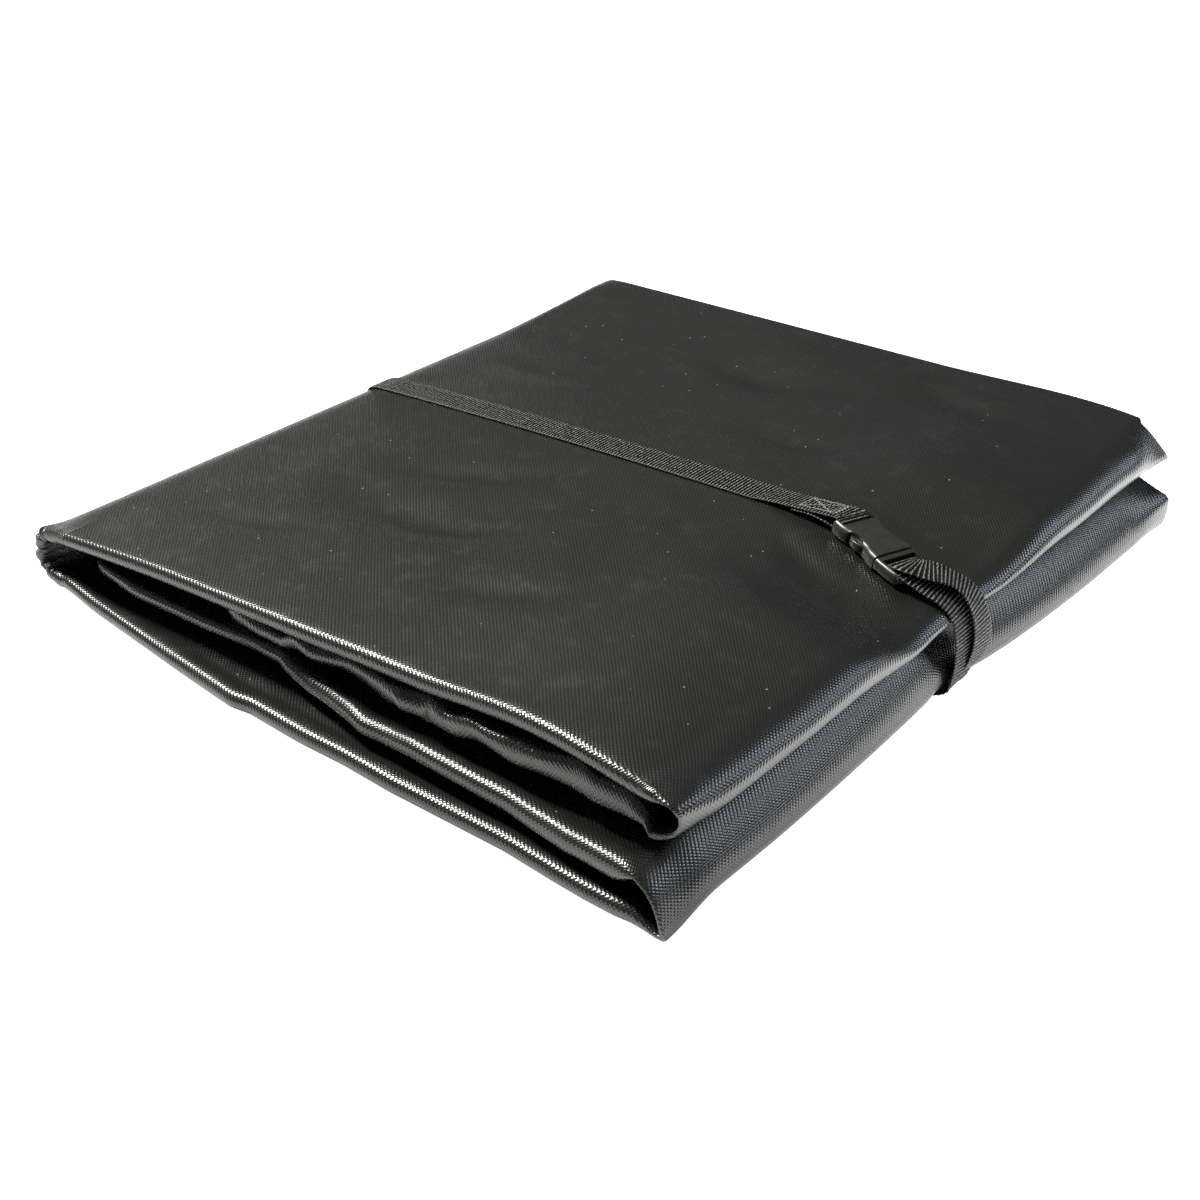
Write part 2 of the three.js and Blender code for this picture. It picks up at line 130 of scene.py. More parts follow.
def waves(x, y, size, seed):
    """Smooth noise from -1 to 1 over the plane, with features about size mm across."""
    x, y = np.broadcast_arrays(np.asarray(x, float), np.asarray(y, float))
    flat = [noise.noise(Vector((a / size, b / size, seed))) for a, b in zip(x.ravel(), y.ravel())]
    return np.array(flat).reshape(x.shape)


def link(name, mesh):
    obj = bpy.data.objects.new(name, mesh)
    bpy.context.scene.collection.objects.link(obj)
    return obj


def tube(name, rings, close_start=False, close_end=False, lengths=None):
    """A skin over rings of points (stations, points round, 3) in mm, with a UV map in metres.
    The map runs along the skin by its own length, or by the lengths given for its stations."""
    stations, around = rings.shape[:2]
    faces = []
    corners = []
    along = np.zeros((stations, around + 1))
    steps = np.linalg.norm(np.diff(rings, axis=0), axis=2)
    along[1:, :around] = np.cumsum(steps, axis=0)
    along[:, around] = along[:, 0]
    if lengths is not None:
        along[:] = lengths[:, None]
    round_steps = np.linalg.norm(np.roll(rings, -1, axis=1) - rings, axis=2)
    across = np.concatenate([np.zeros((stations, 1)), np.cumsum(round_steps, axis=1)], axis=1)
    for i in range(stations - 1):
        for j in range(around):
            k = (j + 1) % around
            faces.append((i * around + j, i * around + k, (i + 1) * around + k, (i + 1) * around + j))
            corners += [(i, j), (i, j + 1), (i + 1, j + 1), (i + 1, j)]
    if close_start:
        faces.append(tuple(range(around - 1, -1, -1)))
        corners += [(0, j) for j in range(around - 1, -1, -1)]
    if close_end:
        faces.append(tuple((stations - 1) * around + j for j in range(around)))
        corners += [(stations - 1, j) for j in range(around)]
    mesh = bpy.data.meshes.new(name)
    mesh.from_pydata((rings.reshape(-1, 3) * MM).tolist(), [], faces)
    i, j = np.array(corners).T
    uv = np.stack([along[i, j], across[i, j]], axis=1) * MM
    mesh.uv_layers.new(name="UVMap").data.foreach_set("uv", uv.astype(np.float32).ravel())
    mesh.polygons.foreach_set("use_smooth", [True] * len(faces))
    mesh.validate()
    mesh.update()
    return link(name, mesh)


# ---- Materials ----

class Nodes:
    """A material's node tree, filled one node at a time."""

    def __init__(self, name, **constants):
        self.material = bpy.data.materials.new(name)
        self.material.use_nodes = True
        self.tree = self.material.node_tree
        self.shader = self.tree.nodes["Principled BSDF"]
        self.set(self.shader, constants)

    def set(self, node, values):
        for socket, value in values.items():
            target = node.inputs[socket if isinstance(socket, int) else socket.replace("_", " ")]
            if isinstance(value, bpy.types.NodeSocket):
                self.tree.links.new(value, target)
            else:
                target.default_value = value

    def add(self, kind, inputs=None, **settings):
        node = self.tree.nodes.new("ShaderNode" + kind)
        for key, value in settings.items():
            setattr(node, key, value)
        self.set(node, inputs or {})
        return node

    def math(self, operation, a, b=0.0):
        return self.add("Math", {0: a, 1: b}, operation=operation).outputs[0]

    def noise(self, vector, scale, detail=2.0, rough=0.5):
        values = {"Vector": vector, "Scale": scale, "Detail": detail, "Roughness": rough}
        return self.add("TexNoise", values).outputs["Fac"]

    def ramp(self, value, low, high, to_low=0.0, to_high=1.0):
        values = {0: value, 1: low, 2: high, 3: to_low, 4: to_high}
        return self.add("MapRange", values, interpolation_type="SMOOTHSTEP").outputs[0]

    def mix(self, share, a, b):
        node = self.add("Mix", data_type="RGBA")
        self.set(node, {0: share, 6: a, 7: b})
        return node.outputs[2]

    def bump(self, height, distance, strength=1.0, below=None):
        values = {"Height": height, "Distance": distance, "Strength": strength}
        if below is not None:
            values["Normal"] = below
        return self.add("Bump", values).outputs[0]

    def use(self, **values):
        self.set(self.shader, values)


def wave_of(nodes, place, pitch):
    return nodes.math("SINE", nodes.math("MULTIPLY", place, 2 * math.pi / pitch))


WEAVE_PITCH = 2.4
WEAVE_DEPTH = 0.075
COAT_DARK, COAT_LIGHT = (0.0055, 0.006, 0.0055, 1), (0.0085, 0.009, 0.008, 1)
# Painted glint: the weave's crowns are lighter in colour to stand for the small highlights on them
COAT_CROWN_GLINT, COAT_CROWN_GLINT_SHARE = (0.018, 0.0185, 0.0165, 1), 0.45
DUST_COLOUR, DUST_SHARE = (0.32, 0.31, 0.27, 1), 0.5
COAT_ROUGH_LOW, COAT_ROUGH_CROWN = 0.34, 0.18
SPECK_SCALE = 110.0


def sheet_material():
    """Black vinyl-coated fabric: a plain weave shows through a satin skin with dust and scuffs, and its
    crowns carry a painted glint.
    """
    n = Nodes("coated_sheet", IOR=1.52, Specular_IOR_Level=0.65)
    uv = n.add("UVMap", uv_map="UVMap").outputs[0]
    place = n.add("TexCoord").outputs["Object"]
    parts = n.add("SeparateXYZ", {0: uv}).outputs
    pitch = WEAVE_PITCH * MM
    weave = n.math("MULTIPLY", wave_of(n, parts[0], pitch), wave_of(n, parts[1], pitch))
    crown = n.ramp(weave, -0.4, 0.7)
    patches = n.noise(place, 9.0, 2.0)
    scuffs = n.noise(place, 70.0, 3.0, 0.6)
    specks = n.add("TexVoronoi", {"Vector": place, "Scale": SPECK_SCALE}, feature="F1")
    speck_random = n.add("SeparateColor", {0: specks.outputs["Color"]}).outputs[0]
    chosen = n.math("GREATER_THAN", speck_random, 0.75)
    dust = n.math("MULTIPLY", n.ramp(specks.outputs["Distance"], 0.075, 0.045), chosen)
    base = n.mix(patches, COAT_DARK, COAT_LIGHT)
    # Painted glint: lighter colour on the weave's crowns
    colour = n.mix(n.math("MULTIPLY", crown, COAT_CROWN_GLINT_SHARE), base, COAT_CROWN_GLINT)
    colour = n.mix(n.math("MULTIPLY", dust, DUST_SHARE), colour, DUST_COLOUR)
    rough = n.math("ADD", n.ramp(crown, 0.0, 1.0, COAT_ROUGH_LOW, COAT_ROUGH_CROWN),
                   n.ramp(scuffs, 0.5, 0.75, 0.0, 0.08))
    rough = n.math("ADD", rough, n.math("MULTIPLY", dust, 0.3))
    buckles = n.bump(patches, 1.0 * MM, 0.3)
    n.use(Base_Color=colour, Roughness=rough, Normal=n.bump(weave, WEAVE_DEPTH * MM, 1.0, buckles))
    return n.material


RIB_LEAN = 0.21
RIB_LEAN_WIDTH = 5.0
YARN_PITCH = 1.25
# The pale colour is a painted highlight on the rib tops
WEB_DARK, WEB_RIB_GLINT = (0.001, 0.001, 0.001, 1), (0.3, 0.295, 0.27, 1)


def webbing_material():
    """Black woven polypropylene tape: a pale painted highlight on the rib tops, black between them, broken up
    by the yarns.
    """
    n = Nodes("webbing", Specular_IOR_Level=0.2)
    uv = n.add("UVMap", uv_map="UVMap").outputs[0]
    parts = n.add("SeparateXYZ", {0: uv}).outputs
    turn = n.math("MULTIPLY", parts[0], 2 * math.pi / (RIB_PITCH * MM))
    lean = n.math("ABSOLUTE", wave_of(n, parts[1], 2 * RIB_LEAN_WIDTH * MM))
    lean = n.math("MULTIPLY", lean, 2 * math.pi * RIB_LEAN / RIB_PITCH)
    ribs = n.math("COSINE", n.math("ADD", turn, lean))
    yarns = wave_of(n, parts[1], YARN_PITCH * MM)
    grain = n.noise(uv, 1100.0, 3.0, 0.6)
    roughened = n.math("MULTIPLY", n.math("SUBTRACT", grain, 0.5), 3.2)
    broken = n.math("ADD", n.math("MULTIPLY", yarns, 0.3), roughened)
    # Rib height with yarns and grain: it places the painted highlight on the rib tops, and it drives the bump
    rib_height_and_glint = n.ramp(n.math("ADD", ribs, broken), 0.55, 1.35)
    colour = n.mix(rib_height_and_glint, WEB_DARK, WEB_RIB_GLINT)
    n.use(Base_Color=colour, Roughness=n.ramp(grain, 0.3, 0.7, 0.4, 0.6),
          Normal=n.bump(rib_height_and_glint, 0.1 * MM, 0.8))
    return n.material


def plastic_material():
    """Moulded acetal: nearly black, slightly brown, with a fine spark-eroded grain."""
    n = Nodes("buckle_plastic", IOR=1.48)
    place = n.add("TexCoord").outputs["Object"]
    patches = n.noise(place, 120.0, 2.0)
    grain = n.noise(place, 2600.0, 2.0)
    colour = n.mix(patches, (0.017, 0.0165, 0.014, 1), (0.024, 0.023, 0.0195, 1))
    n.use(Base_Color=colour, Roughness=n.ramp(patches, 0.3, 0.7, 0.3, 0.4),
          Normal=n.bump(grain, 0.03 * MM, 0.6))
    return n.material


def thread_material():
    """Worn grey polyester sewing thread with a fibre grain."""
    n = Nodes("thread", Sheen_Weight=0.3)
    place = n.add("TexCoord").outputs["Object"]
    fibres = n.noise(place, 1800.0, 3.0)
    colour = n.mix(fibres, (0.07, 0.067, 0.06, 1), (0.24, 0.235, 0.21, 1))
    n.use(Base_Color=colour, Roughness=n.ramp(fibres, 0.3, 0.7, 0.55, 0.75),
          Normal=n.bump(fibres, 0.08 * MM, 0.7))
    return n.material


SHEET = sheet_material()
WEBBING = webbing_material()
PLASTIC = plastic_material()
THREAD = thread_material()


# ---- The folded sheet: heights of its layers ----

CREST_ROUND = 30.0


def bed_height(x):
    share = np.clip((x - PANEL_START) / (CREST_X - PANEL_START), 0, 1)
    climb = lerp(SPINE_TOP, CREST_TOP, share * (1.3 - 0.3 * share))
    fall = lerp(CREST_TOP, FRONT_TOP, (x - CREST_X) / (FOLD_X - CREST_X))
    climb_slope = (CREST_TOP - SPINE_TOP) / (CREST_X - PANEL_START) * 0.7
    fall_slope = (FRONT_TOP - CREST_TOP) / (FOLD_X - CREST_X)
    from_crest = np.minimum(np.abs(x - CREST_X), CREST_ROUND)
    rounding = (climb_slope - fall_slope) * (CREST_ROUND - from_crest) ** 2 / (4 * CREST_ROUND)
    return np.where(x > CREST_X, fall, climb) - rounding


def top_height(x, y):
    y = np.asarray(y, float)
    near = PUFF * smooth(-BED_LOW_Y, -BED_LOW_Y + BED_SLOPE_WIDTH, -y)
    far = FAR_PUFF * smooth(BED_HIGH_Y, BED_HIGH_Y + BED_SLOPE_WIDTH, y)
    loft = bed_height(x) + np.maximum(near, far) * smooth(CREST_X - 60, FOLD_X, x)
    far_edge = lerp(*FAR_EDGE_TOP, (x - PANEL_START) / (FOLD_X - PANEL_START))
    return lerp(loft, far_edge, smooth(120, 240, y))


def split_height(x):
    return lerp(SPLIT_AT_SPINE, SPLIT_AT_FRONT, np.clip((x - PANEL_START) / (FOLD_X - PANEL_START), 0, 1))


def under_strap_y(x):
    return lerp(STRAP_Y_SPINE, STRAP_Y_UNDER, np.clip((x - SPINE_X) / (FOLD_X - SPINE_X), 0, 1))


def dent(x, y, at_x, at_y, long, wide, turn, deep):
    """A soft crescent dent centred on a place, turned in plan."""
    c, s = math.cos(math.radians(turn)), math.sin(math.radians(turn))
    a = (c * (x - at_x) + s * (y - at_y)) / long
    b = (-s * (x - at_x) + c * (y - at_y)) / wide - 0.6 * a * a
    return -deep * np.exp(-a * a - b * b)


# Each dent's place, half length, half width, turn in degrees and depth
DENTS = [(-60, -110, 60, 22, 20, 2.4), (-20, 170, 55, 20, -10, 2.2), (-32, -112, 38, 9, 18, 2.2),
         (-70, -55, 46, 11, 28, 2.0), (-26, 158, 42, 9, -5, 2.2), (140, -22, 26, 9, -21, 2.0),
         (176, -52, 34, 10, 20, 2.2), (40, -150, 40, 10, 24, 1.6), (60, 90, 36, 10, 8, 1.6),
         (-140, 90, 44, 11, 12, 1.4), (-130, -170, 40, 10, 16, 1.4), (110, 190, 36, 12, -14, 1.8)]


def top_relief(x, y):
    """The soft dents and bulges of the top, which die out at its edges and under the strap."""
    off_strap = smooth(14, 40, np.abs(y - STRAP_Y_TOP))
    away = off_strap * smooth(0, 30, HALF_LENGTH - np.abs(y)) * smooth(-204, -170, x)
    relief = 1.1 * waves(x, y, 90, 3.1) + 0.5 * waves(x, y, 38, 7.7)
    for values in DENTS:
        relief = relief + dent(x, y, *values)
    return relief * away


# ---- The folded sheet: where each layer's long edges lie ----

UPPER_OUTER_D = eased((-205, -243), (-132, -238.5), (-60, -236.3), (0, -234.3), (52, -231.5),
                      (116, -230.5), (154, -232), (189, -233.5), (215, -232.5))
UPPER_INNER_D = table((-205, -205), (-120, -212), (-86, -224), (-40, -227), (-20, -228.5), (3, -224),
                      (30, -226), (50, -231), (60, -228.5), (90, -232.8), (100, -230.5), (130, -230.5),
                      (165, -229.5), (192, -230.5), (204, -229), (215, -230))
LOWER_INNER_D = table((-205, -225), (-190, -233), (-156, -236), (-101, -232.5), (-42, -229), (-33, -231.5),
                      (0, -236), (31, -242.2), (45, -240.5), (74, -241), (127, -240.5), (150, -242.5),
                      (168, -245.5), (201, -246.5), (215, -245))
LOWER_OUTER_D = table((-205, -245.5), (-148, -251), (-100, -254.5), (-50, -257.5), (-38, -255),
                      (3, -255), (69, -252), (133, -250), (182, -250), (215, -248.5))
UPPER_B = eased((-205, 249), (-60, 248.5), (60, 247.5), (190, 247), (215, 241))
LOWER_B = eased((-205, 246), (-80, 247), (60, 244), (190, 243), (215, 244))
UPPER_INNER_B = table((-205, 225), (-60, 236), (0, 239), (40, 234), (120, 238), (215, 237))
LOWER_INNER_B = table((-205, 228), (-90, 238), (-20, 241), (60, 236), (140, 241), (215, 243))

# How thick the fold at each long edge is, and how far it hangs off its layer's height
UPPER_OUTER_THICK = table((-205, 8), (-100, 9), (120, 10), (215, 9))
UPPER_INNER_THICK = table((-205, 5), (-90, 6), (-50, 9), (0, 11), (50, 13), (100, 15), (190, 16),
                          (199, 9), (204, 3))
LOWER_INNER_THICK = table((-205, 7), (-100, 9), (0, 10), (150, 12), (198, 12), (206, 6), (215, 3))
LOWER_OUTER_THICK = table((-205, 8), (-100, 9), (100, 10), (200, 10), (215, 6))
UPPER_INNER_DROP = table((-205, 0), (-86, 1), (0, 2), (50, 2.5), (90, 3), (100, 4.2), (130, 5),
                         (200, 5.5), (215, 3))
LOWER_INNER_DROP = table((-205, 0), (-42, 0), (-33, -1.2), (31, -4), (74, -3.4), (127, -3.2),
                         (168, -4.2), (215, -4))
FOLD_END_THICK = 2.4
BEAD_DIP = 3.2
BEAD_FALL = (2.0, 11.0)
BEAD_RISE = (28.0, 60.0)
EDGE_TAPER = 62.0
DROP_TAPER = 34.0
FAR_PUFF = 11.0
FAR_SPINE_LIFT = 6.5
FAR_EDGE_TOP = (SPINE_TOP + FAR_SPINE_LIFT, FRONT_TOP + FAR_PUFF + 5.0)

# The front fold's profile: how far it reaches out, and how far it has gone from outer to inner face
FOLD_PROFILE = {
    "upper": [(0, 0), (0.28, 0.015), (0.5, 0.05), (0.7, 0.11), (0.86, 0.19), (0.96, 0.29), (1.0, 0.38),
              (0.97, 0.47), (0.88, 0.58), (0.74, 0.7), (0.56, 0.82), (0.35, 0.92), (0.15, 0.98), (0, 1)],
    "upper_near": [(0, 0), (0.3, 0.01), (0.55, 0.04), (0.76, 0.1), (0.9, 0.17), (0.98, 0.26), (1.0, 0.36),
                   (0.95, 0.48), (0.86, 0.6), (0.74, 0.72), (0.58, 0.84), (0.38, 0.93), (0.18, 0.98), (0, 1)],
    "upper_far": [(0, 0), (0.12, 0.04), (0.27, 0.1), (0.42, 0.17), (0.57, 0.25), (0.72, 0.33), (0.87, 0.42),
                  (1.0, 0.5), (0.9, 0.57), (0.75, 0.66), (0.56, 0.77), (0.35, 0.88), (0.16, 0.96), (0, 1)],
    "lower": [(0, 0), (0.3, 0.0), (0.55, 0.0), (0.78, 0.04), (0.92, 0.11), (0.99, 0.2), (1.0, 0.29),
              (0.96, 0.4), (0.87, 0.53), (0.73, 0.67), (0.56, 0.8), (0.36, 0.91), (0.16, 0.98), (0, 1)],
    "lower_near": [(0, 0), (0.3, 0.0), (0.55, 0.0), (0.8, 0.0), (0.95, 0.01), (1.0, 0.05), (0.97, 0.14),
                   (0.92, 0.25), (0.86, 0.37), (0.79, 0.5), (0.7, 0.64), (0.55, 0.8), (0.3, 0.94), (0, 1)],
    "lower_far": [(0, 0), (0.3, 0.0), (0.6, 0.02), (0.85, 0.06), (0.95, 0.15), (0.98, 0.3), (1.0, 0.45),
                  (1.0, 0.58), (0.98, 0.68), (0.9, 0.74), (0.7, 0.79), (0.45, 0.86), (0.2, 0.94), (0, 1)],
}
FOLD_REACH = {
    "upper": eased((-244, 20), (-225, 23.5), (-150, 25), (-90, 23.5), (-40, 20.5), (-12, 18), (22, 18),
                   (50, 20), (120, 22), (200, 22), (232, 24), (244, 25)),
    "lower": eased((-250, 28), (-228, 27), (-150, 26.5), (-90, 24.5), (-40, 22), (-12, 20.2), (14, 19.6),
                   (40, 23), (125, 28), (190, 28), (232, 28), (246, 29)),
}


def face_shares():
    """Places across a layer, closer together at its edges and by the strap."""
    near = np.arange(0, 64, 4.0)
    middle = np.concatenate([np.arange(64, 205, 8.0), np.arange(206, 292, 3.0), np.arange(294, 420, 8.0)])
    places = np.concatenate([near, middle, FULL_LENGTH - near[::-1]])
    return places / FULL_LENGTH


SHARES = face_shares()
CAP = np.linspace(0, math.pi, 9)[1:-1]


def ring_through(x_out, z_out, x_in, z_in, normal, low_y, high_y, thick, far_thick, drop=0.0):
    """One closed loop round a layer. Functions of y give its outer and inner faces; the two
    meet in a round fold at each long edge, close behind the outer face. Behind the near fold's
    bead, a face that looks up dips a little."""
    y = lerp(low_y + min(thick, 10) / 2, high_y - far_thick / 2, SHARES)
    low_depth, high_depth = y - y[0], y[-1] - y
    open_share = smooth(0, EDGE_TAPER, np.minimum(low_depth, high_depth))
    gap = np.where(high_depth > low_depth, thick, far_thick)
    fall = drop * (1 - smooth(0, DROP_TAPER, low_depth))
    ox, oz = x_out(y), z_out(y) + fall
    near_x, near_z = ox + gap * normal[0], oz + gap * normal[1]
    ix, iz = lerp(near_x, x_in(y), open_share), lerp(near_z, z_in(y), open_share)
    outer = np.stack([ox, y, oz], axis=1)
    dip = 0.0
    if thick > 2 * BEAD_DIP:
        dip = BEAD_DIP * smooth(*BEAD_FALL, low_depth) * (1 - smooth(*BEAD_RISE, low_depth))
    if normal[1] < -0.5 and drop < 0:
        outer[:, 2] -= dip
    if normal[1] > 0.5:
        iz = iz - dip * normal[1]
    inner = np.stack([ix, y, iz], axis=1)

    def cap(edge, reach, order):
        mid = (outer[edge] + inner[edge]) / 2
        arm = (outer[edge] - inner[edge]) / 2
        return [mid + arm * math.cos(a) + np.array([0, reach * math.sin(a), 0]) for a in order]

    near_cap = cap(0, -min(thick, 10) / 2, CAP[::-1])
    return np.concatenate([outer, cap(-1, far_thick / 2, CAP), inner[::-1], near_cap])


def facets(seed, spacing, rows, size):
    """Crumpled cloth: straight creases between random knots, one broken line for each row."""
    random = np.random.RandomState(seed)
    knots = np.cumsum(random.uniform(0.55, 1.5, 80) * spacing) - 260
    values = random.uniform(-1, 1, (rows, 2, len(knots))) * size
    return lambda x: np.array([[np.interp(x, knots, line) for line in row] for row in values])


CREASES = {"upper_out": facets(5, 60, 3, 0.35), "upper_in": facets(12, 15, 5, 2.7),
           "upper_nose": facets(43, 15, 4, 2.6), "lower_nose": facets(47, 22, 4, 1.4),
           "lower_in": facets(23, 30, 4, 1.2), "lower_out": facets(31, 50, 3, 0.6)}


CREASE_ROWS_OVER = 12.0


def crumple(ring, x, layer, depth=34.0):
    """Bends the near long edge of a ring by the layer's creases, less the deeper in it lies."""
    moves = CREASES[layer](x)
    count = len(ring)
    order = np.arange(count)
    from_edge = np.where(order > count / 2, order - count, order)
    row = np.clip(1 + from_edge / CREASE_ROWS_OVER, 0, 2) / 2
    fade = 1 - smooth(4, depth, ring[:, 1] - ring[:, 1].min())
    for axis, column in ((1, 0), (2, 1)):
        ring[:, axis] += fade * np.interp(row, np.linspace(0, 1, len(moves)), moves[:, column])
    return ring


def along_stations():
    return np.concatenate([np.linspace(PANEL_START, -100, 24), np.linspace(-96.5, FOLD_X, 86)])


def blended_profile(which, y, k):
    """The fold's profile at one step round it, which changes towards its two ends."""
    middle, near, far = (np.array(FOLD_PROFILE[which + end][k], float) for end in ("", "_near", "_far"))
    near_share = (1 - smooth(-246, -205, y))[:, None]
    far_share = smooth(200, 243, y)[:, None]
    return middle + (near - middle) * near_share + (far - middle) * far_share


FACES = {
    "upper": {"sign": -1, "out": (UPPER_OUTER_D, UPPER_B), "in": (UPPER_INNER_D, UPPER_INNER_B),
              "out_thick": UPPER_OUTER_THICK, "in_thick": UPPER_INNER_THICK, "in_drop": UPPER_INNER_DROP},
    "lower": {"sign": 1, "out": (LOWER_OUTER_D, LOWER_B), "in": (LOWER_INNER_D, LOWER_INNER_B),
              "out_thick": LOWER_OUTER_THICK, "in_thick": LOWER_INNER_THICK, "in_drop": LOWER_INNER_DROP},
}
FOLD_END_X = 215.0
FOLD_SIZE = np.array([26.0, 32.0])
SEAM_GAP = 0.4
SPLIT_GAP = 0.15
GROOVE_DEPTH = 2.35
SPINE_LIFT = 2.2


def outer_z(which, x, y):
    """Height of the outer face; the lower half's has the strap's groove, and lifts to the spine."""
    if which == "upper":
        return top_height(x, y) + top_relief(np.full_like(y, x), y)
    groove = GROOVE_DEPTH * (1 - smooth(10.6, 19, np.abs(y - under_strap_y(x))))
    return groove + SPINE_LIFT * (1 - smooth(-204, -175, x)) * np.ones_like(y)


def seam_z(which, x, y):
    """Height of the middle of a half, where its outer and inner layers meet."""
    middle = lerp(split_height(x), top_height(x, y), 0.5) if which == "upper" else split_height(x) * 0.5
    return middle * np.ones_like(y)


def split_z(which, x, y):
    """Height of the face that a half turns to the other half."""
    return (split_height(x) - SPLIT_GAP * FACES[which]["sign"]) * np.ones_like(y)


def outer_ring(which, x):
    faces = FACES[which]
    ring = ring_through(
        lambda y: np.full_like(y, x), lambda y: outer_z(which, x, y), lambda y: np.full_like(y, x),
        lambda y: seam_z(which, x, y) - SEAM_GAP * faces["sign"], (0, faces["sign"]),
        faces["out"][0](x), faces["out"][1](x), faces["out_thick"](x), 8)
    return crumple(ring, x, which + "_out")


def inner_ring(which, x):
    faces = FACES[which]
    ring = ring_through(
        lambda y: np.full_like(y, x), lambda y: split_z(which, x, y), lambda y: np.full_like(y, x),
        lambda y: seam_z(which, x, y) + SEAM_GAP * faces["sign"], (0, -faces["sign"]),
        faces["in"][0](x), faces["in"][1](x), faces["in_thick"](x), 5, faces["in_drop"](x))
    return crumple(ring, x, which + "_in")


def fold_ring(which, k, t, along, rise):
    """One loop of the front fold, a share t of the way round it, where it runs along and rises."""
    faces = FACES[which]
    low_y, high_y = (lerp(faces["out"][side](FOLD_END_X), faces["in"][side](FOLD_END_X), smooth(0, 1, t))
                     for side in (0, 1))
    thick = max(FOLD_END_THICK, lerp(faces["out_thick"](FOLD_X), 0, smooth(0, 0.3, t)),
                lerp(0, faces["in_thick"](FOLD_END_X), smooth(0.8, 1, t)))

    def fall(y):
        return blended_profile(which, y, k)[:, 1]

    ring = ring_through(
        lambda y: FOLD_X + FOLD_REACH[which](y) * blended_profile(which, y, k)[:, 0],
        lambda y: lerp(outer_z(which, FOLD_X, y), split_z(which, FOLD_X, y), fall(y)),
        lambda y: np.full_like(y, FOLD_X + 3 * math.sin(math.pi * t)),
        lambda y: seam_z(which, FOLD_X, y) - SEAM_GAP * math.cos(math.pi * t) * faces["sign"],
        (-rise, along * faces["sign"]), low_y, high_y, thick, lerp(8, 5, t),
        faces["in_drop"](FOLD_END_X) * smooth(0.4, 1, t))
    return crumple(ring, FOLD_X + 9.0 * k, which + "_nose", 22.0)


def half_rings(which):
    """The loops of one half of the book: its outer strip, the front fold, and its inner strip."""
    xs = along_stations()
    rings = [outer_ring(which, x) for x in xs]
    steps = len(FOLD_PROFILE[which])
    tangent = np.gradient(np.array(FOLD_PROFILE[which], float) * FOLD_SIZE, axis=0)
    for k in range(1, steps - 1):
        along, rise = tangent[k] / np.linalg.norm(tangent[k])
        rings.append(fold_ring(which, k, k / (steps - 1), along, rise))
    rings = np.array(rings + [inner_ring(which, x) for x in xs[::-1][:-2]])
    rings[..., 2] = np.maximum(rings[..., 2], 0)
    return rings


def make_half(which):
    rings = half_rings(which)
    if which == "lower":
        rings = rings[:, ::-1]
    obj = tube(which + "_sheet", rings)
    obj.data.materials.append(SHEET)
    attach(obj, which + "_half")
    layers = ["outer_panel", "inner_panel", "front_fold"]
    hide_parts(*[which + "_" + layer for layer in layers])


def spine_place(share, radius):
    """A point on the spine's outside, squared at its top crease. Share runs from below to above."""
    angle = math.pi * (share - 0.5)
    power = lerp(0.85, 0.5, smooth(0.3, 0.8, share))
    out = math.copysign(abs(math.cos(angle)) ** power, math.cos(angle))
    rise = math.copysign(abs(math.sin(angle)) ** power, math.sin(angle))
    x = PANEL_START - (radius + SPINE_STAND_OUT) * out
    return x, SPINE_CENTRE_Z + radius * rise + TOP_SLOPE * (x - PANEL_START) * smooth(0.5, 0.9, share)


SPINE_LOOPS = 29
PUCKER = np.array([2.2, 1.6, 2.2])
SPINE_NEAR_PULL, SPINE_FAR_PULL, SPINE_NEAR_SAG = 7.5, 2.5, 3.0


def spine_ring(share, free):
    """One loop of the bundle, which draws in at its two free ends."""
    c, s = math.cos(math.pi * (share - 0.5)), math.sin(math.pi * (share - 0.5))
    inside = WRAP_RADIUS - SPINE_SHEET
    x_out, z_out = spine_place(share, WRAP_RADIUS)

    def near_end(y):
        return 1 - smooth(-244, -214, y)

    return ring_through(
        lambda y: x_out - free * (SPINE_NEAR_PULL * near_end(y) + SPINE_FAR_PULL * smooth(200, 240, y)),
        lambda y: (z_out - SPINE_NEAR_SAG * free * near_end(y)
                   + FAR_SPINE_LIFT * smooth(120, 240, y) * smooth(0.55, 0.95, share)),
        lambda y: np.full_like(y, SPINE_X - inside * c),
        lambda y: np.full_like(y, SPINE_CENTRE_Z + inside * s),
        (c, -s), lerp(LOWER_OUTER_D(-205), UPPER_OUTER_D(-205), share),
        lerp(LOWER_B(-205), UPPER_B(-205), share),
        lerp(LOWER_OUTER_THICK(-205), UPPER_OUTER_THICK(-205), share), 8)


def make_spine():
    """The bundle of cloth that turns from the lower half to the upper one."""
    rings = []
    puckers = np.random.RandomState(3).uniform(-1, 1, (SPINE_LOOPS, 3))
    for share, pucker in zip(np.linspace(0, 1, SPINE_LOOPS), puckers):
        free = math.sin(math.pi * share)
        ring = spine_ring(share, free)
        near = (1 - smooth(1, 16, ring[:, 1] - ring[:, 1].min()))[:, None]
        rings.append(ring + near * free * pucker * PUCKER)
    obj = tube("spine_sheet", np.array(rings)[:, ::-1])
    obj.data.materials.append(SHEET)
    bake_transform(obj)
    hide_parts("spine_fold")


make_half("upper")
make_half("lower")
make_spine()


# ---- The webbing ----

RIB_HEIGHT = 0.3
STEP = 0.4


def in_buckle(u, v, w):
    return BUCKLE_AT + u * BUCKLE_U + v * BUCKLE_V + w * BUCKLE_W


